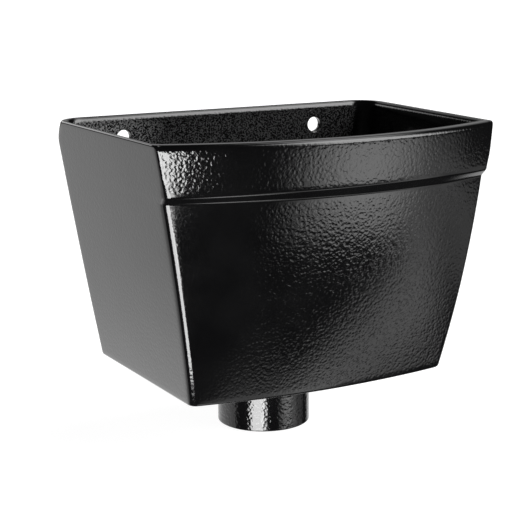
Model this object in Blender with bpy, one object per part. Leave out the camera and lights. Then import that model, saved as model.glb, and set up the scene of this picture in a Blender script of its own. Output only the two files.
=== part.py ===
# Downpipe hopper head: one hollow casting that is screwed to a wall and feeds a round downpipe.
# Metres, Z up. The origin lies on the wall face, midway between the two fixing holes.
# X runs along the wall, +Y runs into the wall and the bowed front looks along -Y.
# Sections are level cuts through the body. A drop is a distance measured down from the rim.

import math

import bmesh
import bpy
from mathutils import Vector

# Body, outside sizes
BODY_HEIGHT = 0.1665
BACK_WIDTH_RIM = 0.2500
BACK_WIDTH_FLOOR = 0.1905
FRONT_WIDTH_RIM = 0.2413
FRONT_WIDTH_FLOOR = 0.1864
BODY_DEPTH_RIM = 0.1836
BODY_DEPTH_FLOOR = 0.1537
BOW_RIM = 0.0279
BOW_FLOOR = 0.0096
SIDE_BULGE = 0.0007
FRONT_BULGE = 0.0058

# Walls and the radii of the body
SIDE_WALL = 0.0052
FLOOR_WALL = 0.0060
FRONT_CORNER_RADIUS = 0.0064
SMALLEST_CORNER_RADIUS = 0.0009
BACK_CORNER_RADIUS = 0.0064
BACK_CORNER_RIM_RADIUS = 0.0200
BACK_CORNER_RIM_DROP = 0.0150
BACK_CORNER_FADE_POWER = 1.5
INNER_FRONT_CORNER_RADIUS = 0.0060
INNER_BACK_CORNER_RADIUS = 0.0125
FLOOR_FILLET = 0.0070
BOTTOM_EDGE_RADIUS = 0.0018
RIM_OUTER_RADIUS = 0.0014
RIM_FLAT = 0.0002
RIM_INNER_FRONT_RADIUS = 0.0018

# Fascia band across the front, proud of the body
BAND_PROUD = 0.0043
BAND_BULGE = 0.0002
BAND_HEIGHT_MIDDLE = 0.0303
BAND_HEIGHT_CORNER = 0.0314
BAND_TOP_RADIUS = 0.0036
BAND_LOWER_RADIUS = 0.0034
BAND_CORNER_RADIUS = 0.0036
BAND_CORNER_END_DROP = 0.0190
COVE_DROP = 0.0051
COVE_RADIUS = 0.0030

# Outlet spigot
SPIGOT_DIAMETER = 0.0635
SPIGOT_WALL = 0.0045
SPIGOT_LENGTH = 0.0438
SPIGOT_FROM_WALL = 0.0645
SPIGOT_ROOT_FILLET = 0.0040
SPIGOT_END_RADIUS = 0.0010
BORE_MOUTH_RADIUS = 0.0030

# Fixing holes in the back wall
HOLE_DIAMETER = 0.0105
HOLE_SPACING = 0.1500
HOLE_BELOW_RIM = 0.0155
HOLE_EDGE_RADIUS = 0.0010

# Facets
BOW_STEPS = 26
CORNER_STEPS = 6
EDGE_STEPS = 4
BODY_RINGS = 9
INNER_RINGS = 7
BAND_RINGS = 6
BAND_EDGE_STEPS = 2
COVE_STEPS = 3
ROUND_STEPS = 48
HOLE_STEPS = 24
HOLE_EDGE_STEPS = 3
CUT_OVERRUN = 0.004
MERGE_DISTANCE = 0.00001
SMOOTH_ANGLE = math.radians(32.0)

# Finish
COAT_COLOUR = (0.012, 0.012, 0.013, 1.0)
COAT_ROUGHNESS = 0.30
COAT_METALLIC = 0.0

# Heights worked out from the sizes above
RIM_Z = HOLE_BELOW_RIM
UNDERSIDE_Z = RIM_Z - BODY_HEIGHT
FLOOR_Z = UNDERSIDE_Z + FLOOR_WALL
SPIGOT_END_Z = UNDERSIDE_Z - SPIGOT_LENGTH


def clear_scene():
    for item in list(bpy.data.objects):
        bpy.data.objects.remove(item)


def make_coat():
    coat = bpy.data.materials.new("black_powder_coat")
    coat.use_nodes = True
    shader = coat.node_tree.nodes["Principled BSDF"]
    shader.inputs["Base Color"].default_value = COAT_COLOUR
    shader.inputs["Roughness"].default_value = COAT_ROUGHNESS
    shader.inputs["Metallic"].default_value = COAT_METALLIC
    coat.diffuse_color = COAT_COLOUR
    return coat


def between(first, last, share):
    return first + (last - first) * share


def swell(share):
    # 0 at the rim and at the underside, 1 halfway down
    return 4.0 * share * (1.0 - share)


def body_sizes(drop):
    # half width at the wall, half width at the front corners, depth at those corners and bow
    share = drop / BODY_HEIGHT
    side = SIDE_BULGE * swell(share)
    half_back = 0.5 * between(BACK_WIDTH_RIM, BACK_WIDTH_FLOOR, share) + side
    half_front = 0.5 * between(FRONT_WIDTH_RIM, FRONT_WIDTH_FLOOR, share) + side
    bow = between(BOW_RIM, BOW_FLOOR, share)
    depth = between(BODY_DEPTH_RIM, BODY_DEPTH_FLOOR, share) - bow + FRONT_BULGE * swell(share)
    return half_back, half_front, depth, bow


def arc_points(centre, radius, start, end, steps):
    points = []
    for step in range(steps + 1):
        angle = between(start, end, step / steps)
        points.append((centre[0] + radius * math.cos(angle), centre[1] + radius * math.sin(angle)))
    return points


def section(drop, proud, inset, front_radius, back_radius):
    # Level outline, anticlockwise from the left end of the bow. Inset is a parallel offset inwards.
    half_back, half_front, depth, bow = body_sizes(drop)
    depth += proud
    bow_radius = (half_front ** 2 + bow ** 2) / (2.0 * bow)
    bow_centre_y = bow_radius - depth - bow
    run = math.hypot(half_front - half_back, depth)
    along = ((half_front - half_back) / run, -depth / run)
    normal = (-along[1], along[0])
    normal_angle = math.atan2(normal[1], normal[0])

    # back corner: touches the side line and the line y = -inset
    reach = inset + back_radius
    start_x = half_back - normal[0] * reach
    start_y = -normal[1] * reach
    travel = (-reach - start_y) / along[1]
    back_centre = (start_x + along[0] * travel, -reach)

    # front corner: touches the side line and the bow from inside
    reach = inset + front_radius
    start_x = half_back - normal[0] * reach
    start_y = -normal[1] * reach - bow_centre_y
    half_b = start_x * along[0] + start_y * along[1]
    offset = start_x ** 2 + start_y ** 2 - (bow_radius - reach) ** 2
    travel = math.sqrt(half_b ** 2 - offset) - half_b
    front_x = start_x + along[0] * travel
    front_y = start_y + along[1] * travel
    front_centre = (front_x, front_y + bow_centre_y)
    bow_end = math.atan2(front_y, front_x)

    bow_points = arc_points((0.0, bow_centre_y), bow_radius - inset, -math.pi - bow_end, bow_end, BOW_STEPS)
    front_corner = arc_points(front_centre, front_radius, bow_end, normal_angle, CORNER_STEPS)
    back_corner = arc_points(back_centre, back_radius, normal_angle, 0.5 * math.pi, CORNER_STEPS)
    right = front_corner[1:] + back_corner
    left = [(-x, y) for x, y in reversed(right)]
    return bow_points + right + left


POINTS_AROUND = len(section(0.0, 0.0, 0.0, FRONT_CORNER_RADIUS, BACK_CORNER_RADIUS))


def front_share(index):
    # 1 on the bow, falling to 0 over the front corners, 0 on the sides and the back
    if index <= BOW_STEPS:
        return 1.0
    beyond = min(index - BOW_STEPS, POINTS_AROUND - index)
    return max(0.0, 1.0 - beyond / CORNER_STEPS)


def corner_share(index):
    # 0 at the middle of the front, 1 at its corners and all round the sides and back
    if index > BOW_STEPS:
        return 1.0
    return (2.0 * index / BOW_STEPS - 1.0) ** 2


def band_droop(index, drop):
    # The lower edge of the band hangs a little lower at the corners. The foot of its cove is level.
    full = (BAND_HEIGHT_CORNER - BAND_HEIGHT_MIDDLE) * corner_share(index)
    if drop <= BAND_HEIGHT_MIDDLE:
        return full * drop / BAND_HEIGHT_MIDDLE
    return full * max(0.0, 1.0 - (drop - BAND_HEIGHT_MIDDLE) / (COVE_DROP + cove_foot_run()))


def ring(drop_at, proud, inset_at, front_radius_at, back_radius_at):
    # One loop of points. Drop, inset and corner radii may differ from point to point.
    points = []
    for index in range(POINTS_AROUND):
        drop = drop_at(index)
        inset = inset_at(index)
        outline = section(drop, proud, inset, front_radius_at(drop, inset), back_radius_at(drop, inset))
        x, y = outline[index]
        points.append(Vector((x, y, RIM_Z - drop)))
    return points


def back_corner_radius(drop):
    # The back corners are dressed rounder towards the rim.
    near_rim = max(0.0, 1.0 - drop / BACK_CORNER_RIM_DROP)
    return between(BACK_CORNER_RADIUS, BACK_CORNER_RIM_RADIUS, near_rim ** BACK_CORNER_FADE_POWER)


def front_corner_radius(drop):
    # tight on the band, growing towards its lower edge and full on the body
    share = (drop - BAND_CORNER_END_DROP) / (BAND_HEIGHT_MIDDLE - BAND_CORNER_END_DROP)
    share = min(1.0, max(0.0, share))
    return between(BAND_CORNER_RADIUS, FRONT_CORNER_RADIUS, share * share * (3.0 - 2.0 * share))


def outer_ring(drop_at, proud, inset_at):
    drooped = lambda index: drop_at(index) + band_droop(index, drop_at(index))
    front = lambda drop, inset: max(front_corner_radius(drop) - inset, SMALLEST_CORNER_RADIUS)
    back = lambda drop, inset: max(back_corner_radius(drop) - inset, SMALLEST_CORNER_RADIUS)
    return ring(drooped, proud, inset_at, front, back)


def inner_back_corner_radius(drop, inset):
    # Close to the rim the inside follows the rounder outside, so that the flat keeps its width.
    plain = INNER_BACK_CORNER_RADIUS + max(0.0, SIDE_WALL - inset)
    return max(plain, back_corner_radius(drop) - inset)


def inner_ring(drop_at, inset_at):
    front = lambda drop, inset: INNER_FRONT_CORNER_RADIUS + max(0.0, SIDE_WALL - inset)
    return ring(drop_at, 0.0, inset_at, front, inner_back_corner_radius)


def rim_inner_edge(index):
    # radius of the inner edge of the rim: full at the sides and the back, small behind the band
    full = SIDE_WALL - RIM_OUTER_RADIUS - RIM_FLAT
    return between(full, RIM_INNER_FRONT_RADIUS, front_share(index))


def inner_rings():
    # from the edge of the flat floor, up the walls and over the inner edge of the rim
    rings = []
    floor_drop = BODY_HEIGHT - FLOOR_WALL
    for step in range(EDGE_STEPS + 1):
        angle = 0.5 * math.pi * step / EDGE_STEPS
        drop = floor_drop - FLOOR_FILLET * (1.0 - math.cos(angle))
        inset = SIDE_WALL + FLOOR_FILLET * (1.0 - math.sin(angle))
        rings.append(inner_ring(lambda index: drop, lambda index: inset))
    for step in range(1, INNER_RINGS + 1):
        share = step / INNER_RINGS
        drop_at = lambda index: between(floor_drop - FLOOR_FILLET, rim_inner_edge(index), share)
        rings.append(inner_ring(drop_at, lambda index: SIDE_WALL))
    for step in range(1, EDGE_STEPS + 1):
        angle = 0.5 * math.pi * step / EDGE_STEPS
        drop_at = lambda index: rim_inner_edge(index) * (1.0 - math.sin(angle))
        inset_at = lambda index: SIDE_WALL - rim_inner_edge(index) * (1.0 - math.cos(angle))
        rings.append(inner_ring(drop_at, inset_at))
    return rings


def rim_edge(index):
    # radius of the outer edge of the rim: small at the sides and the back, fuller on the band
    return between(RIM_OUTER_RADIUS, BAND_TOP_RADIUS, front_share(index))


def rim_rings():
    rings = []
    for step in range(EDGE_STEPS + 2):
        angle = 0.5 * math.pi * step / (EDGE_STEPS + 1)
        drop_at = lambda index: rim_edge(index) * (1.0 - math.cos(angle))
        inset_at = lambda index: rim_edge(index) * (1.0 - math.sin(angle))
        rings.append(outer_ring(drop_at, BAND_PROUD, inset_at))
    return rings


def cove_slope():
    return math.atan2(BAND_PROUD, COVE_DROP)


def cove_foot_run():
    return COVE_RADIUS * math.tan(0.5 * cove_slope())


def cove_profile():
    # (drop, proud) pairs down the underside of the band: rounded edge, slope, hollow foot
    slope = cove_slope()
    edge_run = BAND_LOWER_RADIUS * math.tan(0.5 * slope)
    pairs = []
    for step in range(BAND_EDGE_STEPS + 1):
        angle = slope * step / BAND_EDGE_STEPS
        drop = BAND_HEIGHT_MIDDLE - edge_run + BAND_LOWER_RADIUS * math.sin(angle)
        pairs.append((drop, BAND_PROUD - BAND_LOWER_RADIUS * (1.0 - math.cos(angle))))
    foot_drop = BAND_HEIGHT_MIDDLE + COVE_DROP + cove_foot_run()
    for step in range(COVE_STEPS + 1):
        angle = slope * (1.0 - step / COVE_STEPS)
        pairs.append((foot_drop - COVE_RADIUS * math.sin(angle), COVE_RADIUS * (1.0 - math.cos(angle))))
    return pairs


def outer_rings():
    flush = lambda index: 0.0
    pairs = cove_profile()
    rings = []
    for step in range(1, BAND_RINGS + 1):
        share = step / (BAND_RINGS + 1)
        drop_at = lambda index: between(rim_edge(index), pairs[0][0], share)
        rings.append(outer_ring(drop_at, BAND_PROUD + BAND_BULGE * swell(share), flush))
    for drop, proud in pairs:
        rings.append(outer_ring(lambda index: drop, proud, flush))
    body_start = pairs[-1][0]
    body_end = BODY_HEIGHT - BOTTOM_EDGE_RADIUS
    for step in range(1, BODY_RINGS + 1):
        drop = between(body_start, body_end, step / BODY_RINGS)
        rings.append(outer_ring(lambda index: drop, 0.0, flush))
    for step in range(1, EDGE_STEPS):
        angle = 0.5 * math.pi * step / (EDGE_STEPS - 1)
        drop = body_end + BOTTOM_EDGE_RADIUS * math.sin(angle)
        inset = BOTTOM_EDGE_RADIUS * (1.0 - math.cos(angle))
        rings.append(outer_ring(lambda index: drop, 0.0, lambda index: inset))
    return rings


def loft(rings):
    # Skin the rings in order and close the first and the last with a flat face.
    mesh = bmesh.new()
    loops = []
    for points in rings:
        verts = [mesh.verts.new(point) for point in points]
        edges = [mesh.edges.new((verts[i - 1], verts[i])) for i in range(len(verts))]
        loops.append((verts, edges))
    for upper, lower in zip(loops, loops[1:]):
        for i in range(POINTS_AROUND):
            mesh.faces.new((upper[0][i - 1], upper[0][i], lower[0][i], lower[0][i - 1]))
    bmesh.ops.contextual_create(mesh, geom=loops[0][1])
    bmesh.ops.contextual_create(mesh, geom=loops[-1][1])
    bmesh.ops.recalc_face_normals(mesh, faces=mesh.faces)
    return mesh


def turn(profile, steps, centre):
    # Spin (radius, height) pairs that start and end on the axis round an upright axis.
    mesh = bmesh.new()
    verts = [mesh.verts.new((centre[0] + r, centre[1], z)) for r, z in profile]
    edges = [mesh.edges.new(pair) for pair in zip(verts, verts[1:])]
    bmesh.ops.spin(mesh, geom=verts + edges, cent=(centre[0], centre[1], 0.0), axis=(0.0, 0.0, 1.0),
                   angle=2.0 * math.pi, steps=steps, use_merge=True)
    bmesh.ops.remove_doubles(mesh, verts=mesh.verts, dist=MERGE_DISTANCE)
    bmesh.ops.recalc_face_normals(mesh, faces=mesh.faces)
    return mesh


def add_object(name, mesh):
    data = bpy.data.meshes.new(name)
    mesh.to_mesh(data)
    mesh.free()
    item = bpy.data.objects.new(name, data)
    bpy.context.scene.collection.objects.link(item)
    return item


def smooth(item):
    item.data.shade_smooth()
    item.data.set_sharp_from_angle(angle=SMOOTH_ANGLE)


def as_tool(item):
    item.hide_render = True
    item.display_type = "WIRE"


def spigot_plug():
    # the outside of the outlet, solid, with its root buried halfway into the floor
    radius = 0.5 * SPIGOT_DIAMETER
    root_radius = radius + SPIGOT_ROOT_FILLET
    profile = [(0.0, UNDERSIDE_Z + 0.5 * FLOOR_WALL), (root_radius, UNDERSIDE_Z + 0.5 * FLOOR_WALL)]
    for step in range(EDGE_STEPS + 1):
        angle = 0.5 * math.pi * step / EDGE_STEPS
        r = root_radius - SPIGOT_ROOT_FILLET * math.sin(angle)
        profile.append((r, UNDERSIDE_Z - SPIGOT_ROOT_FILLET * (1.0 - math.cos(angle))))
    for step in range(EDGE_STEPS):
        angle = 0.5 * math.pi * step / (EDGE_STEPS - 1)
        r = radius - SPIGOT_END_RADIUS * (1.0 - math.cos(angle))
        profile.append((r, SPIGOT_END_Z + SPIGOT_END_RADIUS * (1.0 - math.sin(angle))))
    profile.append((0.0, SPIGOT_END_Z))
    plug = add_object("spigot_plug", turn(profile, ROUND_STEPS, (0.0, -SPIGOT_FROM_WALL)))
    smooth(plug)
    as_tool(plug)
    return plug


def bore_cutter():
    # the waterway: a rounded mouth in the floor and a plain bore down through the spigot
    bore = 0.5 * SPIGOT_DIAMETER - SPIGOT_WALL
    mouth = bore + BORE_MOUTH_RADIUS
    profile = [(0.0, FLOOR_Z + CUT_OVERRUN), (mouth, FLOOR_Z + CUT_OVERRUN)]
    for step in range(EDGE_STEPS + 1):
        angle = 0.5 * math.pi * step / EDGE_STEPS
        r = mouth - BORE_MOUTH_RADIUS * math.sin(angle)
        profile.append((r, FLOOR_Z - BORE_MOUTH_RADIUS * (1.0 - math.cos(angle))))
    profile.append((bore, SPIGOT_END_Z - CUT_OVERRUN))
    profile.append((0.0, SPIGOT_END_Z - CUT_OVERRUN))
    cutter = add_object("bore_cutter", turn(profile, ROUND_STEPS, (0.0, -SPIGOT_FROM_WALL)))
    smooth(cutter)
    as_tool(cutter)
    return cutter


def hole_cutter(name, x):
    # A pin with flared ends, which rounds the edge of the hole on both faces of the back wall.
    radius = 0.5 * HOLE_DIAMETER
    half_wall = 0.5 * SIDE_WALL
    mouth = radius + HOLE_EDGE_RADIUS
    upper = [(0.0, half_wall + CUT_OVERRUN), (mouth, half_wall + CUT_OVERRUN)]
    for step in range(HOLE_EDGE_STEPS + 1):
        angle = 0.5 * math.pi * step / HOLE_EDGE_STEPS
        r = mouth - HOLE_EDGE_RADIUS * math.sin(angle)
        upper.append((r, half_wall - HOLE_EDGE_RADIUS * (1.0 - math.cos(angle))))
    lower = [(r, -height) for r, height in reversed(upper)]
    cutter = add_object(name, turn(upper + lower, HOLE_STEPS, (0.0, 0.0)))
    smooth(cutter)
    cutter.rotation_euler = (0.5 * math.pi, 0.0, 0.0)
    cutter.location = (x, -half_wall, RIM_Z - HOLE_BELOW_RIM)
    as_tool(cutter)
    return cutter


def add_boolean(item, tool, operation):
    step = item.modifiers.new(tool.name, "BOOLEAN")
    step.operation = operation
    step.object = tool
    step.solver = "EXACT"


def build():
    clear_scene()
    casting = add_object("hopper_casting", loft(inner_rings() + rim_rings() + outer_rings()))
    casting.data.materials.append(make_coat())
    smooth(casting)
    add_boolean(casting, spigot_plug(), "UNION")
    add_boolean(casting, bore_cutter(), "DIFFERENCE")
    add_boolean(casting, hole_cutter("left_hole_cutter", -0.5 * HOLE_SPACING), "DIFFERENCE")
    add_boolean(casting, hole_cutter("right_hole_cutter", 0.5 * HOLE_SPACING), "DIFFERENCE")


build()
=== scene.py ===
import math

import bmesh
import bpy
import numpy as np
from mathutils import Matrix, Vector, noise


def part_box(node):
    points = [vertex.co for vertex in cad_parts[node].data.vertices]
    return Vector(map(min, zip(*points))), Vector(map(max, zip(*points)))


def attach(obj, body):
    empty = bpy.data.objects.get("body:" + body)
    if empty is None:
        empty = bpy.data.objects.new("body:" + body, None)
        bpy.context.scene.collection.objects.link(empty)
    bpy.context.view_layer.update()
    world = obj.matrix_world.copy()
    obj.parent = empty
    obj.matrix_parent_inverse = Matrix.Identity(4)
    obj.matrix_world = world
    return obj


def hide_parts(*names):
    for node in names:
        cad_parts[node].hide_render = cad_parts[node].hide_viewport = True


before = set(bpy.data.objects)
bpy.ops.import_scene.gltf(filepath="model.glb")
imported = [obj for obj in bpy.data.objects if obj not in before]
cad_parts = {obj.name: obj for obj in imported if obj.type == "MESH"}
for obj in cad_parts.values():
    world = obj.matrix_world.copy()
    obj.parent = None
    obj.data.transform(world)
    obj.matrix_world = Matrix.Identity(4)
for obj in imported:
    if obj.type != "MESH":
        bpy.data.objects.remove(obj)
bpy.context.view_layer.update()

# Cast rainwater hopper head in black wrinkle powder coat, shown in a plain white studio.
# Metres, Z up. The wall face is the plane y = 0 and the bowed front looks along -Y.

castingLow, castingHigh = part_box("hopper_casting")
rimZ = castingHigh.z
spigotEndZ = castingLow.z


# The casting

casting = {
    "bodyHeight": 0.1665,
    "backWidth": (0.2500, 0.1905),
    "frontWidth": (0.2413, 0.1864),
    "cornerDepth": (0.1557, 0.1441),
    "bow": (0.0279, 0.0096),
    "sideBulge": 0.0007,
    "frontBulge": 0.0058,
    "wall": 0.0052,
    "floorWall": 0.0060,
    "frontCorner": 0.0064,
    "bandFrontCorner": 0.0036,
    "cornerGrows": (0.0190, 0.0303),
    "backCorner": 0.0064,
    "backCornerRim": 0.0200,
    "backCornerDrop": 0.0150,
    "backCornerPower": 1.5,
    "innerFrontCorner": 0.0060,
    "innerBackCorner": 0.0125,
    "floorFillet": 0.0070,
    "bottomEdge": 0.0018,
    "rimOuter": 0.0014,
    "rimInner": 0.0036,
    "rimInnerFront": 0.0018,
    "bandProud": 0.0043,
    "bandBulge": 0.0002,
    "bandMiddle": 0.0303,
    "bandCorner": 0.0314,
    "bandTop": 0.0036,
    "bandLower": 0.0034,
    "coveDrop": 0.0051,
    "coveRadius": 0.0030,
    "smallestCorner": 0.0009,
}

spigot = {
    "diameter": 0.0635,
    "wall": 0.0045,
    "fromWall": 0.0645,
    "rootFillet": 0.0040,
    "endRadius": 0.0010,
    "mouthRadius": 0.0030,
    "steps": 128,
}

fixingHoles = {
    "diameter": 0.0105,
    "spacing": 0.1500,
    "edge": 0.0010,
    "edgeSteps": 4,
    "pastWall": 0.00002,
    "steps": 48,
}

meshSteps = {
    "bow": 84,
    "frontCorner": 10,
    "side": 40,
    "backCorner": 12,
    "back": 64,
    "bodyRings": 44,
    "innerRings": 36,
    "bandRings": 12,
    "bandLower": 4,
    "cove": 6,
    "edge": 8,
    "weld": 0.000005,
    "sharpAngle": 38.0,
}

castSkin = {
    "waveLength": 0.034,
    "waveHeight": 0.00006,
    "seed": 11.3,
    "flatMargin": 0.0004,
}

undersideZ = rimZ - casting["bodyHeight"]
floorZ = undersideZ + casting["floorWall"]
spigotCentre = (0.0, -spigot["fromWall"])
cutOverrun = 0.004


def between(first, last, share):
    return first + (last - first) * share


def swell(share):
    return 4.0 * share * (1.0 - share)


def arcPoints(centre, radius, start, end, steps):
    points = []
    for step in range(steps + 1):
        angle = between(start, end, step / steps)
        points.append((centre[0] + radius * math.cos(angle), centre[1] + radius * math.sin(angle)))
    return points


def linePoints(first, last, steps):
    # the points strictly between two ends
    points = []
    for step in range(1, steps):
        share = step / steps
        points.append((between(first[0], last[0], share), between(first[1], last[1], share)))
    return points


def bodySection(drop, proud, inset, frontRadius, backRadius):
    # level outline at this drop below the rim, anticlockwise from the left end of the bow
    share = drop / casting["bodyHeight"]
    side = casting["sideBulge"] * swell(share)
    halfBack = 0.5 * between(*casting["backWidth"], share) + side
    halfFront = 0.5 * between(*casting["frontWidth"], share) + side
    depth = between(*casting["cornerDepth"], share) + casting["frontBulge"] * swell(share) + proud
    bow = between(*casting["bow"], share)
    bowRadius = (halfFront ** 2 + bow ** 2) / (2.0 * bow)
    bowCentre = bowRadius - depth - bow
    run = math.hypot(halfFront - halfBack, depth)
    along = ((halfFront - halfBack) / run, -depth / run)
    normal = (-along[1], along[0])
    normalAngle = math.atan2(normal[1], normal[0])

    reach = inset + backRadius
    start = (halfBack - normal[0] * reach, -normal[1] * reach)
    travel = (-reach - start[1]) / along[1]
    backCentre = (start[0] + along[0] * travel, -reach)

    reach = inset + frontRadius
    start = (halfBack - normal[0] * reach, -normal[1] * reach - bowCentre)
    halfB = start[0] * along[0] + start[1] * along[1]
    offset = start[0] ** 2 + start[1] ** 2 - (bowRadius - reach) ** 2
    travel = math.sqrt(halfB ** 2 - offset) - halfB
    cornerAt = (start[0] + along[0] * travel, start[1] + along[1] * travel)
    bowEnd = math.atan2(cornerAt[1], cornerAt[0])
    frontCentre = (cornerAt[0], cornerAt[1] + bowCentre)

    bowLine = arcPoints((0.0, bowCentre), bowRadius - inset, -math.pi - bowEnd, bowEnd, meshSteps["bow"])
    frontArc = arcPoints(frontCentre, frontRadius, bowEnd, normalAngle, meshSteps["frontCorner"])
    backArc = arcPoints(backCentre, backRadius, normalAngle, 0.5 * math.pi, meshSteps["backCorner"])
    sideLine = linePoints(frontArc[-1], backArc[0], meshSteps["side"])
    right = frontArc[1:] + sideLine + backArc
    left = [(-x, y) for x, y in reversed(right)]
    backLine = linePoints(right[-1], left[0], meshSteps["back"])
    return bowLine + right + backLine + left


pointsAround = len(bodySection(0.0, 0.0, 0.0, casting["frontCorner"], casting["backCorner"]))


def frontShare(index):
    # 1 on the bow, falling to 0 round the front corners
    if index <= meshSteps["bow"]:
        return 1.0
    beyond = min(index - meshSteps["bow"], pointsAround - index)
    return max(0.0, 1.0 - beyond / meshSteps["frontCorner"])


def coveRun(radius):
    return radius * math.tan(0.5 * math.atan2(casting["bandProud"], casting["coveDrop"]))


def frontRadius(drop):
    # tight on the band, growing towards its lower edge and staying full on the body
    share = (drop - casting["cornerGrows"][0]) / (casting["cornerGrows"][1] - casting["cornerGrows"][0])
    share = min(1.0, max(0.0, share))
    return between(casting["bandFrontCorner"], casting["frontCorner"], share * share * (3.0 - 2.0 * share))


def bandDroop(index, drop):
    # the lower edge of the band hangs a little lower at the corners
    away = 1.0
    if index <= meshSteps["bow"]:
        away = (2.0 * index / meshSteps["bow"] - 1.0) ** 2
    full = (casting["bandCorner"] - casting["bandMiddle"]) * away
    if drop <= casting["bandMiddle"]:
        return full * drop / casting["bandMiddle"]
    run = casting["coveDrop"] + coveRun(casting["coveRadius"])
    return full * max(0.0, 1.0 - (drop - casting["bandMiddle"]) / run)


def backRadius(drop):
    nearRim = max(0.0, 1.0 - drop / casting["backCornerDrop"]) ** casting["backCornerPower"]
    return between(casting["backCorner"], casting["backCornerRim"], nearRim)


def outerRing(dropAt, proud, insetAt):
    points = []
    for index in range(pointsAround):
        drop = dropAt(index)
        drop += bandDroop(index, drop)
        inset = insetAt(index)
        frontCorner = max(frontRadius(drop) - inset, casting["smallestCorner"])
        backCorner = max(backRadius(drop) - inset, casting["smallestCorner"])
        x, y = bodySection(drop, proud, inset, frontCorner, backCorner)[index]
        points.append((x, y, rimZ - drop))
    return points


def innerRing(dropAt, insetAt):
    points = []
    for index in range(pointsAround):
        drop = dropAt(index)
        inset = insetAt(index)
        spare = max(0.0, casting["wall"] - inset)
        backCorner = max(casting["innerBackCorner"] + spare, backRadius(drop) - inset)
        outline = bodySection(drop, 0.0, inset, casting["innerFrontCorner"] + spare, backCorner)
        points.append((*outline[index], rimZ - drop))
    return points


def rimInnerEdge(index):
    return between(casting["rimInner"], casting["rimInnerFront"], frontShare(index))


def innerRings():
    # up from the flat floor, round its fillet, up the walls and over the inner edge of the rim
    wall = casting["wall"]
    fillet = casting["floorFillet"]
    floorDrop = casting["bodyHeight"] - casting["floorWall"]
    rings = []
    for step in range(meshSteps["edge"] + 1):
        angle = 0.5 * math.pi * step / meshSteps["edge"]
        drop = floorDrop - fillet * (1.0 - math.cos(angle))
        inset = wall + fillet * (1.0 - math.sin(angle))
        rings.append(innerRing(lambda index: drop, lambda index: inset))
    for step in range(1, meshSteps["innerRings"] + 1):
        share = step / meshSteps["innerRings"]
        dropAt = lambda index: between(floorDrop - fillet, rimInnerEdge(index), share)
        rings.append(innerRing(dropAt, lambda index: wall))
    for step in range(1, meshSteps["edge"] + 1):
        angle = 0.5 * math.pi * step / meshSteps["edge"]
        dropAt = lambda index: rimInnerEdge(index) * (1.0 - math.sin(angle))
        insetAt = lambda index: wall - rimInnerEdge(index) * (1.0 - math.cos(angle))
        rings.append(innerRing(dropAt, insetAt))
    return rings


def rimEdge(index):
    return between(casting["rimOuter"], casting["bandTop"], frontShare(index))


def coveProfile():
    # drop and proud down the underside of the band
    slope = math.atan2(casting["bandProud"], casting["coveDrop"])
    lower = casting["bandLower"]
    hollow = casting["coveRadius"]
    pairs = []
    for step in range(meshSteps["bandLower"] + 1):
        angle = slope * step / meshSteps["bandLower"]
        drop = casting["bandMiddle"] - coveRun(lower) + lower * math.sin(angle)
        pairs.append((drop, casting["bandProud"] - lower * (1.0 - math.cos(angle))))
    foot = casting["bandMiddle"] + casting["coveDrop"] + coveRun(hollow)
    for step in range(meshSteps["cove"] + 1):
        angle = slope * (1.0 - step / meshSteps["cove"])
        pairs.append((foot - hollow * math.sin(angle), hollow * (1.0 - math.cos(angle))))
    return pairs


def outerRings():
    # over the rim, down the band, round its cove, down the body and under its bottom edge
    flush = lambda index: 0.0
    rings = []
    for step in range(meshSteps["edge"] + 1):
        angle = 0.5 * math.pi * step / meshSteps["edge"]
        dropAt = lambda index: rimEdge(index) * (1.0 - math.cos(angle))
        insetAt = lambda index: rimEdge(index) * (1.0 - math.sin(angle))
        rings.append(outerRing(dropAt, casting["bandProud"], insetAt))
    pairs = coveProfile()
    for step in range(1, meshSteps["bandRings"] + 1):
        share = step / (meshSteps["bandRings"] + 1)
        dropAt = lambda index: between(rimEdge(index), pairs[0][0], share)
        rings.append(outerRing(dropAt, casting["bandProud"] + casting["bandBulge"] * swell(share), flush))
    for drop, proud in pairs:
        rings.append(outerRing(lambda index: drop, proud, flush))
    bodyEnd = casting["bodyHeight"] - casting["bottomEdge"]
    for step in range(1, meshSteps["bodyRings"] + 1):
        drop = between(pairs[-1][0], bodyEnd, step / meshSteps["bodyRings"])
        rings.append(outerRing(lambda index: drop, 0.0, flush))
    for step in range(1, meshSteps["edge"] + 1):
        angle = 0.5 * math.pi * step / meshSteps["edge"]
        drop = bodyEnd + casting["bottomEdge"] * math.sin(angle)
        inset = casting["bottomEdge"] * (1.0 - math.cos(angle))
        rings.append(outerRing(lambda index: drop, 0.0, lambda index: inset))
    return rings


def loftMesh(rings):
    mesh = bmesh.new()
    loops = []
    for points in rings:
        loops.append([mesh.verts.new(point) for point in points])
    for upper, lower in zip(loops, loops[1:]):
        for i in range(pointsAround):
            mesh.faces.new((upper[i - 1], upper[i], lower[i], lower[i - 1]))
    mesh.faces.new(loops[0])
    mesh.faces.new(loops[-1])
    bmesh.ops.recalc_face_normals(mesh, faces=mesh.faces)
    return mesh


def turnMesh(profile, steps, centre):
    # (radius, height) pairs spun round an upright axis
    mesh = bmesh.new()
    verts = [mesh.verts.new((centre[0] + r, centre[1], z)) for r, z in profile]
    edges = [mesh.edges.new(pair) for pair in zip(verts, verts[1:])]
    bmesh.ops.spin(mesh, geom=verts + edges, cent=(centre[0], centre[1], 0.0), axis=(0.0, 0.0, 1.0),
                   angle=2.0 * math.pi, steps=steps, use_merge=True)
    bmesh.ops.remove_doubles(mesh, verts=mesh.verts, dist=meshSteps["weld"])
    bmesh.ops.recalc_face_normals(mesh, faces=mesh.faces)
    return mesh


def newObject(name, mesh):
    data = bpy.data.meshes.new(name)
    mesh.to_mesh(data)
    mesh.free()
    item = bpy.data.objects.new(name, data)
    bpy.context.scene.collection.objects.link(item)
    return item


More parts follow.
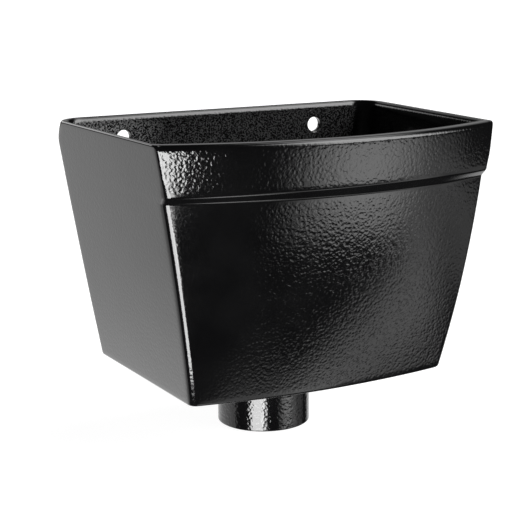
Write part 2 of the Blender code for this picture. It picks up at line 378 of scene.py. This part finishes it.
def spigotPlug():
    radius = 0.5 * spigot["diameter"]
    fillet = spigot["rootFillet"]
    buried = undersideZ + 0.5 * casting["floorWall"]
    profile = [(0.0, buried), (radius + fillet, buried)]
    for step in range(meshSteps["edge"] + 1):
        angle = 0.5 * math.pi * step / meshSteps["edge"]
        out = radius + fillet * (1.0 - math.sin(angle))
        profile.append((out, undersideZ - fillet * (1.0 - math.cos(angle))))
    endRadius = spigot["endRadius"]
    for step in range(meshSteps["edge"] + 1):
        angle = 0.5 * math.pi * step / meshSteps["edge"]
        out = radius - endRadius * (1.0 - math.cos(angle))
        profile.append((out, spigotEndZ + endRadius * (1.0 - math.sin(angle))))
    profile.append((0.0, spigotEndZ))
    return newObject("spigotPlug", turnMesh(profile, spigot["steps"], spigotCentre))


def boreCutter():
    bore = 0.5 * spigot["diameter"] - spigot["wall"]
    mouth = spigot["mouthRadius"]
    profile = [(0.0, floorZ + cutOverrun), (bore + mouth, floorZ + cutOverrun)]
    for step in range(meshSteps["edge"] + 1):
        angle = 0.5 * math.pi * step / meshSteps["edge"]
        profile.append((bore + mouth * (1.0 - math.sin(angle)), floorZ - mouth * (1.0 - math.cos(angle))))
    profile.append((bore, spigotEndZ - cutOverrun))
    profile.append((0.0, spigotEndZ - cutOverrun))
    return newObject("boreCutter", turnMesh(profile, spigot["steps"], spigotCentre))


def holeCutter(x):
    # a pin with flared ends, turned upright and then laid along Y through the back wall
    radius = 0.5 * fixingHoles["diameter"]
    edge = fixingHoles["edge"]
    halfWall = 0.5 * casting["wall"]
    top = halfWall + fixingHoles["pastWall"]
    upper = [(0.0, halfWall + cutOverrun), (radius + edge, halfWall + cutOverrun)]
    for step in range(fixingHoles["edgeSteps"] + 1):
        angle = 0.5 * math.pi * step / fixingHoles["edgeSteps"]
        upper.append((radius + edge * (1.0 - math.sin(angle)), top - edge * (1.0 - math.cos(angle))))
    lower = [(r, -height) for r, height in reversed(upper)]
    mesh = turnMesh(upper + lower, fixingHoles["steps"], (0.0, 0.0))
    laid = Matrix.Translation((x, -halfWall, 0.0)) @ Matrix.Rotation(0.5 * math.pi, 4, "X")
    bmesh.ops.transform(mesh, matrix=laid, verts=mesh.verts)
    return newObject("holeCutter", mesh)


def cutAndJoin(item, tools):
    # tools are (object, operation); each is used once and removed
    for tool, operation in tools:
        step = item.modifiers.new(tool.name, "BOOLEAN")
        step.operation = operation
        step.object = tool
        step.solver = "EXACT"
    graph = bpy.context.evaluated_depsgraph_get()
    finished = bpy.data.meshes.new_from_object(item.evaluated_get(graph))
    item.modifiers.clear()
    item.data = finished
    for tool, operation in tools:
        bpy.data.objects.remove(tool)


def vertexRows(mesh, values, name):
    # one row of x, y, z for each vertex
    rows = np.empty(len(mesh.vertices) * 3, np.float32)
    values.foreach_get(name, rows)
    return rows.reshape(-1, 3)


def castWaviness(mesh):
    # a sand casting is never dead flat: long shallow waves along the normals, but none on the
    # faces that seat, which are the back and the end of the spigot
    normals = vertexRows(mesh, mesh.vertex_normals, "vector")
    places = vertexRows(mesh, mesh.vertices, "co")
    shift = Vector((castSkin["seed"], castSkin["seed"], castSkin["seed"]))
    for i in range(len(places)):
        x, y, z = places[i]
        if y > -castSkin["flatMargin"] or z < spigotEndZ + castSkin["flatMargin"]:
            continue
        wave = noise.noise(Vector((x, y, z)) / castSkin["waveLength"] + shift)
        places[i] += normals[i] * (castSkin["waveHeight"] * wave)
    mesh.vertices.foreach_set("co", places.ravel())
    mesh.update()


def makeCasting():
    rings = innerRings() + outerRings()
    body = newObject("hopperHead", loftMesh(rings))
    halfSpacing = 0.5 * fixingHoles["spacing"]
    cutAndJoin(body, [
        (spigotPlug(), "UNION"),
        (boreCutter(), "DIFFERENCE"),
        (holeCutter(-halfSpacing), "DIFFERENCE"),
        (holeCutter(halfSpacing), "DIFFERENCE"),
    ])
    castWaviness(body.data)
    body.data.shade_smooth()
    body.data.set_sharp_from_angle(angle=math.radians(meshSteps["sharpAngle"]))
    print("casting:", len(body.data.polygons), "faces")
    return body


# Finish

coatLook = {
    "colour": (0.0010, 0.0010, 0.0011),
    "paleColour": (0.0017, 0.0017, 0.0018),
    # the pale specks on the inner back wall are painted light, a stand-in for light caught there
    "paintedSheenColour": (0.260, 0.260, 0.262),
    "paintedSheenSize": 0.0011,
    "paintedSheenFlecks": (0.42, 0.62),
    "patchScale": 26.0,
    "palePatches": (0.35, 0.7),
    "roughPatches": (0.3, 0.7),
    "roughness": (0.10, 0.13),
    "ridgePolish": 0.03,
    "grainHeight": 0.000088,
    "grainSize": 0.0030,
    "pitSize": 0.0023,
    "refraction": 1.5,
}

grainForm = {
    "ridgeEdge": 0.16,
    "ridgeShare": 0.3,
    "pitEdges": (0.1, 0.62),
    "pitShare": 0.7,
    "pitSoftness": 0.6,
}

# where the coat flows smoother or carries the painted sheen inside; pairs are the two ends of a fade
coatFlow = {
    "sideGrain": 0.4,
    "sideTurn": (0.6, 0.85),
    "frontDepth": 0.140,
    "frontTurn": (0.0, 0.35),
    "leftGrain": 0.3,
    "leftFade": (-0.100, -0.055),
    "rimFade": (0.0006, 0.0030),
    "coveMargin": 0.0008,
    "aboveCove": 0.0016,
    "belowCove": 0.0022,
    "bottomFade": (0.0016, 0.0034),
    "underside": 0.002,
    # the painted sheen: pale specks standing in for light on the inner back wall
    "paintedSheenDepth": 0.0006,
    "paintedSheenDrop": (0.0016, 0.0040),
    "paintedSheenThinned": 0.84,
    "paintedSheenFade": (-0.118, -0.045),
}


def newGroup(name, inputs, outputs):
    group = bpy.data.node_groups.new(name, "ShaderNodeTree")
    for socketName, kind, value in inputs:
        socket = group.interface.new_socket(socketName, in_out="INPUT", socket_type=kind)
        if value is not None:
            socket.default_value = value
    for socketName, kind in outputs:
        group.interface.new_socket(socketName, in_out="OUTPUT", socket_type=kind)
    return group, group.nodes.new("NodeGroupInput"), group.nodes.new("NodeGroupOutput")


def feed(tree, socket, value):
    # value is another socket or a plain number
    if isinstance(value, (int, float)):
        socket.default_value = value
    else:
        tree.links.new(value, socket)


def mathNode(tree, operation, *values):
    node = tree.nodes.new("ShaderNodeMath")
    node.operation = operation
    for i, value in enumerate(values):
        feed(tree, node.inputs[i], value)
    return node.outputs[0]


def rangeNode(tree, value, fromLow, fromHigh, toLow, toHigh):
    node = tree.nodes.new("ShaderNodeMapRange")
    node.interpolation_type = "SMOOTHSTEP"
    feed(tree, node.inputs["Value"], value)
    feed(tree, node.inputs["From Min"], fromLow)
    feed(tree, node.inputs["From Max"], fromHigh)
    feed(tree, node.inputs["To Min"], toLow)
    feed(tree, node.inputs["To Max"], toHigh)
    return node.outputs["Result"]


def noiseNode(tree, vector, scale, detail=2.0, roughness=0.5, distortion=0.0):
    node = tree.nodes.new("ShaderNodeTexNoise")
    tree.links.new(vector, node.inputs["Vector"])
    feed(tree, node.inputs["Scale"], scale)
    node.inputs["Detail"].default_value = detail
    node.inputs["Roughness"].default_value = roughness
    node.inputs["Distortion"].default_value = distortion
    return node.outputs["Fac"]


def makeGrainGroup():
    # wrinkled powder coat: wavy ridges with small pits between them, as a height from 0 to 1
    group, given, result = newGroup(
        "wrinkleGrain",
        [("Vector", "NodeSocketVector", None), ("Ridge Scale", "NodeSocketFloat", 480.0),
         ("Pit Scale", "NodeSocketFloat", 340.0), ("Amount", "NodeSocketFloat", 1.0)],
        [("Height", "NodeSocketFloat"), ("Ridge", "NodeSocketFloat")])
    vector = given.outputs["Vector"]
    ridgeScale = given.outputs["Ridge Scale"]
    wander = noiseNode(group, vector, ridgeScale, detail=1.0, roughness=0.45, distortion=0.5)
    fold = mathNode(group, "ABSOLUTE", mathNode(group, "SUBTRACT", wander, 0.5))
    ridge = rangeNode(group, fold, 0.0, grainForm["ridgeEdge"], 1.0, 0.0)
    cell = group.nodes.new("ShaderNodeTexVoronoi")
    cell.feature = "SMOOTH_F1"
    cell.inputs["Smoothness"].default_value = grainForm["pitSoftness"]
    group.links.new(vector, cell.inputs["Vector"])
    group.links.new(given.outputs["Pit Scale"], cell.inputs["Scale"])
    pit = rangeNode(group, cell.outputs["Distance"], *grainForm["pitEdges"], 0.0, 1.0)
    ridgePart = mathNode(group, "MULTIPLY", ridge, grainForm["ridgeShare"])
    pitPart = mathNode(group, "MULTIPLY", pit, grainForm["pitShare"])
    blend = mathNode(group, "ADD", ridgePart, pitPart)
    height = mathNode(group, "MULTIPLY", blend, given.outputs["Amount"])
    group.links.new(height, result.inputs["Height"])
    group.links.new(ridge, result.inputs["Ridge"])
    return group


def makeCoat(name, grainGroup, look):
    coat = bpy.data.materials.new(name)
    coat.use_nodes = True
    tree = coat.node_tree
    shader = tree.nodes["Principled BSDF"]
    place = tree.nodes.new("ShaderNodeTexCoord").outputs["Object"]
    grain = tree.nodes.new("ShaderNodeGroup")
    grain.node_tree = grainGroup
    tree.links.new(place, grain.inputs["Vector"])
    grain.inputs["Ridge Scale"].default_value = 1.0 / look["grainSize"]
    grain.inputs["Pit Scale"].default_value = 1.0 / look["pitSize"]
    mask = tree.nodes.new("ShaderNodeAttribute")
    mask.attribute_name = "grain"
    tree.links.new(mask.outputs["Fac"], grain.inputs["Amount"])

    patches = noiseNode(tree, place, look["patchScale"], detail=3.0)
    colour = tree.nodes.new("ShaderNodeMix")
    colour.data_type = "RGBA"
    tree.links.new(rangeNode(tree, patches, *look["palePatches"], 0.0, 1.0), colour.inputs["Factor"])
    colour.inputs["A"].default_value = (*look["colour"], 1.0)
    colour.inputs["B"].default_value = (*look["paleColour"], 1.0)
    # painted sheen: pale specks mixed into the base colour stand in for light caught inside on the back
    # wall
    sheenMask = tree.nodes.new("ShaderNodeAttribute")
    sheenMask.attribute_name = "paintedSheen"
    speckle = noiseNode(tree, place, 1.0 / look["paintedSheenSize"], detail=2.0, roughness=0.7)
    fleck = rangeNode(tree, speckle, *look["paintedSheenFlecks"], 0.0, 1.0)
    sheenMix = tree.nodes.new("ShaderNodeMix")
    sheenMix.data_type = "RGBA"
    tree.links.new(mathNode(tree, "MULTIPLY", sheenMask.outputs["Fac"], fleck), sheenMix.inputs["Factor"])
    tree.links.new(colour.outputs["Result"], sheenMix.inputs["A"])
    sheenMix.inputs["B"].default_value = (*look["paintedSheenColour"], 1.0)
    tree.links.new(sheenMix.outputs["Result"], shader.inputs["Base Color"])

    dull = rangeNode(tree, patches, *look["roughPatches"], *look["roughness"])
    polish = mathNode(tree, "MULTIPLY", grain.outputs["Ridge"], look["ridgePolish"])
    rough = mathNode(tree, "SUBTRACT", dull, polish)
    tree.links.new(rough, shader.inputs["Roughness"])

    bump = tree.nodes.new("ShaderNodeBump")
    bump.inputs["Strength"].default_value = 1.0
    bump.inputs["Distance"].default_value = look["grainHeight"]
    tree.links.new(grain.outputs["Height"], bump.inputs["Height"])
    tree.links.new(bump.outputs["Normal"], shader.inputs["Normal"])
    shader.inputs["IOR"].default_value = look["refraction"]
    return coat


def easeIn(low, high, value):
    # 0 up to low and 1 from high on, rising as a square between them
    return np.clip((value - low) / (high - low), 0.0, 1.0) ** 2


def storeLayer(mesh, name, values):
    layer = mesh.attributes.new(name, "FLOAT", "POINT")
    layer.data.foreach_set("value", values.astype(np.float32))


def storeMasks(item):
    mesh = item.data
    places = vertexRows(mesh, mesh.vertices, "co")
    normals = vertexRows(mesh, mesh.vertex_normals, "vector")
    drop = rimZ - places[:, 2]
    height = casting["bodyHeight"]

    # grain: 1 on the broad faces, less on the rim, the bottom edge, the front's cove and the sides
    front = easeIn(*coatFlow["frontTurn"], -normals[:, 1]) * (places[:, 1] < -coatFlow["frontDepth"])
    coveTop = casting["bandMiddle"] - coatFlow["coveMargin"]
    coveEnd = casting["bandMiddle"] + casting["coveDrop"] + coveRun(casting["coveRadius"])
    coveFoot = coveEnd + coatFlow["coveMargin"]
    above = easeIn(0.0, coatFlow["aboveCove"], coveTop - drop)
    below = easeIn(0.0, coatFlow["belowCove"], drop - coveFoot)
    bottom = easeIn(*coatFlow["bottomFade"], np.abs(drop - height))
    mask = easeIn(*coatFlow["rimFade"], drop) * between(1.0, np.maximum(above, below), front) * bottom
    mask[drop > height + coatFlow["underside"]] = 1.0
    # the front lies calmer towards its left end
    onBody = (drop > coveFoot) & (drop < height)
    calm = between(coatFlow["leftGrain"], 1.0, easeIn(*coatFlow["leftFade"], places[:, 0]))
    mask *= between(1.0, calm, front * onBody)
    sideways = easeIn(*coatFlow["sideTurn"], np.abs(normals[:, 0])) * (drop < height)
    mask *= between(1.0, coatFlow["sideGrain"], sideways)
    storeLayer(mesh, "grain", mask)

    # painted sheen: pale specks that stand in for light caught on the inner face of the back, thinning
    # towards the right
    inside = np.abs(places[:, 1] + casting["wall"]) < coatFlow["paintedSheenDepth"]
    thinning = 1.0 - coatFlow["paintedSheenThinned"] * easeIn(*coatFlow["paintedSheenFade"], places[:, 0])
    storeLayer(mesh, "paintedSheen", inside * easeIn(*coatFlow["paintedSheenDrop"], drop) * thinning)
    print("coat: grain and dust masks on", len(mesh.vertices), "vertices")


# Studio

view = {
    "place": (-0.46145, -0.93357, 0.11308),
    "yaw": 27.6636,
    "pitch": 11.8971,
    "roll": -0.4059,
    "lens": 103.947,
    "sensor": 36.0,
    "shift": (0.0002, -0.0004),
    "reach": 200.0,
}

floorLook = {"size": 60.0, "glow": 0.94, "white": 0.35, "rough": 0.9, "gap": 0.0002}

# Soft panels round the object, in degrees. Azimuth runs from the front (-Y) towards +X.
# at, half and soft each give azimuth, then elevation.
panels = {
    "leftStrip": {"at": (-40.4, -9.6), "half": (18.5, 8.2), "soft": (5.0, 2.0), "glow": 18.0},
    "leftLow": {"at": (-44.7, -30.5), "half": (16.7, 13.5), "soft": (3.0, 3.0), "glow": 16.0},
    "leftLowEdge": {"at": (-26.0, -24.5), "half": (5.0, 4.0), "soft": (3.0, 2.0), "glow": 12.0},
    "rightFill": {"at": (35.2, -14.6), "half": (15.2, 9.2), "soft": (27.0, 5.0), "tilt": 4.0, "glow": 3.35},
    "rightTail": {"at": (60.0, -11.0), "half": (11.0, 6.0), "soft": (14.0, 6.0), "glow": 0.45},
    "rightEdge": {"at": (74.0, -18.5), "half": (14.0, 5.5), "soft": (12.0, 4.0), "glow": 0.38},
    "lowCard": {"at": (51.2, -37.5), "half": (18.8, 6.4), "soft": (14.0, 12.0), "tilt": 45.0, "glow": 1.32},
    "floorGlow": {"at": (30.0, -53.0), "half": (18.0, 7.0), "soft": (14.0, 10.0), "glow": 0.9},
    "underGlow": {"at": (25.0, -72.0), "half": (22.0, 8.0), "soft": (12.0, 6.0), "glow": 3.5},
    "topRight": {"at": (44.0, 36.0), "half": (22.0, 27.0), "soft": (24.0, 16.0), "glow": 7.5},
    "overhead": {"at": (95.0, 60.0), "half": (38.0, 10.0), "soft": (12.0, 12.0), "glow": 2.6},
    "backTop": {"at": (150.0, 26.0), "half": (30.0, 20.0), "soft": (14.0, 12.0), "glow": 0.42},
    "backRim": {"at": (-171.5, 17.0), "half": (16.5, 8.0), "soft": (6.0, 4.0), "glow": 2.2},
    "backSweep": {"at": (-174.0, -24.0), "half": (71.0, 18.0), "soft": (8.0, 10.0), "glow": 0.95},
    "backLow": {"at": (-160.0, -42.0), "half": (35.0, 14.0), "soft": (20.0, 20.0), "glow": 1.2},
}
roomLook = {"glow": 0.03, "backdrop": 1.2}


def makeCamera():
    yaw, pitch, roll = (math.radians(view[key]) for key in ("yaw", "pitch", "roll"))
    ahead = Vector((math.sin(yaw) * math.cos(pitch), math.cos(yaw) * math.cos(pitch), -math.sin(pitch)))
    level = Vector((math.cos(yaw), -math.sin(yaw), 0.0))
    upright = level.cross(ahead)
    right = level * math.cos(roll) + upright * math.sin(roll)
    up = upright * math.cos(roll) - level * math.sin(roll)
    data = bpy.data.cameras.new("camera")
    data.lens = view["lens"]
    data.sensor_width = view["sensor"]
    data.clip_end = view["reach"]
    data.shift_x, data.shift_y = view["shift"]
    camera = bpy.data.objects.new("camera", data)
    bpy.context.scene.collection.objects.link(camera)
    camera.matrix_world = Matrix((right, up, -ahead)).transposed().to_4x4()
    camera.location = Vector(view["place"]) + Vector((0.0, 0.0, rimZ))
    bpy.context.scene.camera = camera


def makeFloor():
    mesh = bmesh.new()
    bmesh.ops.create_grid(mesh, x_segments=2, y_segments=2, size=0.5 * floorLook["size"])
    floor = newObject("studioFloor", mesh)
    floor.location.z = spigotEndZ - floorLook["gap"]
    paper = bpy.data.materials.new("studioPaper")
    paper.use_nodes = True
    tree = paper.node_tree
    shader = tree.nodes["Principled BSDF"]
    shader.inputs["Base Color"].default_value = (floorLook["white"],) * 3 + (1.0,)
    shader.inputs["Roughness"].default_value = floorLook["rough"]
    shader.inputs["Specular IOR Level"].default_value = 0.0
    shader.inputs["Emission Color"].default_value = (1.0, 1.0, 1.0, 1.0)
    shader.inputs["Emission Strength"].default_value = floorLook["glow"]
    floor.data.materials.append(paper)
    floor.visible_glossy = False
    floor.visible_shadow = False


def makePanelGroup():
    # 1 inside a soft-edged window of directions, 0 outside; all angles in degrees
    group, given, result = newGroup(
        "softPanel",
        [("Azimuth", "NodeSocketFloat", 0.0), ("Elevation", "NodeSocketFloat", 0.0),
         ("Centre Azimuth", "NodeSocketFloat", 0.0), ("Half Wide", "NodeSocketFloat", 20.0),
         ("Centre Elevation", "NodeSocketFloat", 0.0), ("Half High", "NodeSocketFloat", 20.0),
         ("Tilt", "NodeSocketFloat", 0.0), ("Soft Wide", "NodeSocketFloat", 5.0),
         ("Soft High", "NodeSocketFloat", 5.0), ("Strength", "NodeSocketFloat", 1.0)],
        [("Light", "NodeSocketFloat")])
    sockets = given.outputs

    def scaled(value, factor):
        return mathNode(group, "MULTIPLY", value, factor)

    def window(value, half, soft):
        away = mathNode(group, "SUBTRACT", mathNode(group, "ABSOLUTE", value), half)
        return rangeNode(group, away, scaled(soft, -0.5), scaled(soft, 0.5), 1.0, 0.0)

    turned = mathNode(group, "SUBTRACT", sockets["Azimuth"], sockets["Centre Azimuth"])
    wrapped = mathNode(group, "WRAP", turned, 180.0, -180.0)
    raised = mathNode(group, "SUBTRACT", sockets["Elevation"], sockets["Centre Elevation"])
    tilt = mathNode(group, "RADIANS", sockets["Tilt"])
    cosine = mathNode(group, "COSINE", tilt)
    sine = mathNode(group, "SINE", tilt)
    across = mathNode(group, "ADD", scaled(wrapped, cosine), scaled(raised, sine))
    upward = mathNode(group, "SUBTRACT", scaled(raised, cosine), scaled(wrapped, sine))
    wide = window(across, sockets["Half Wide"], sockets["Soft Wide"])
    high = window(upward, sockets["Half High"], sockets["Soft High"])
    group.links.new(scaled(scaled(wide, high), sockets["Strength"]), result.inputs["Light"])
    return group


def makeStudioLight():
    # white to the camera, soft panels in a dim room to everything else
    world = bpy.data.worlds.new("studio")
    bpy.context.scene.world = world
    world.use_nodes = True
    tree = world.node_tree
    backdrop = tree.nodes["Background"]
    direction = tree.nodes.new("ShaderNodeSeparateXYZ")
    tree.links.new(tree.nodes.new("ShaderNodeTexCoord").outputs["Generated"], direction.inputs[0])
    x, y, z = (direction.outputs[i] for i in range(3))
    azimuth = mathNode(tree, "DEGREES", mathNode(tree, "ARCTAN2", x, mathNode(tree, "MULTIPLY", y, -1.0)))
    elevation = mathNode(tree, "DEGREES", mathNode(tree, "ARCSINE", z))
    panelGroup = makePanelGroup()
    total = None
    for name, panel in panels.items():
        node = tree.nodes.new("ShaderNodeGroup")
        node.node_tree = panelGroup
        node.label = name
        tree.links.new(azimuth, node.inputs["Azimuth"])
        tree.links.new(elevation, node.inputs["Elevation"])
        node.inputs["Centre Azimuth"].default_value = panel["at"][0]
        node.inputs["Centre Elevation"].default_value = panel["at"][1]
        node.inputs["Half Wide"].default_value = panel["half"][0]
        node.inputs["Half High"].default_value = panel["half"][1]
        node.inputs["Soft Wide"].default_value = panel["soft"][0]
        node.inputs["Soft High"].default_value = panel["soft"][1]
        node.inputs["Tilt"].default_value = panel.get("tilt", 0.0)
        node.inputs["Strength"].default_value = panel["glow"]
        light = node.outputs["Light"]
        total = light if total is None else mathNode(tree, "ADD", total, light)
    lit = mathNode(tree, "ADD", total, roomLook["glow"])
    ray = tree.nodes.new("ShaderNodeLightPath").outputs["Is Camera Ray"]
    onObject = mathNode(tree, "MULTIPLY", lit, mathNode(tree, "SUBTRACT", 1.0, ray))
    behind = mathNode(tree, "MULTIPLY", ray, roomLook["backdrop"])
    tree.links.new(mathNode(tree, "ADD", onObject, behind), backdrop.inputs["Strength"])
    backdrop.inputs["Color"].default_value = (1.0, 1.0, 1.0, 1.0)


# Put together

hopperHead = makeCasting()
storeMasks(hopperHead)
hopperHead.data.materials.clear()
hopperHead.data.materials.append(makeCoat("blackWrinkleCoat", makeGrainGroup(), coatLook))
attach(hopperHead, "root")
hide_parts("hopper_casting")

bpy.context.scene.view_settings.view_transform = "Standard"
makeCamera()
makeFloor()
makeStudioLight()
print("studio: camera, floor and", len(panels), "soft panels")
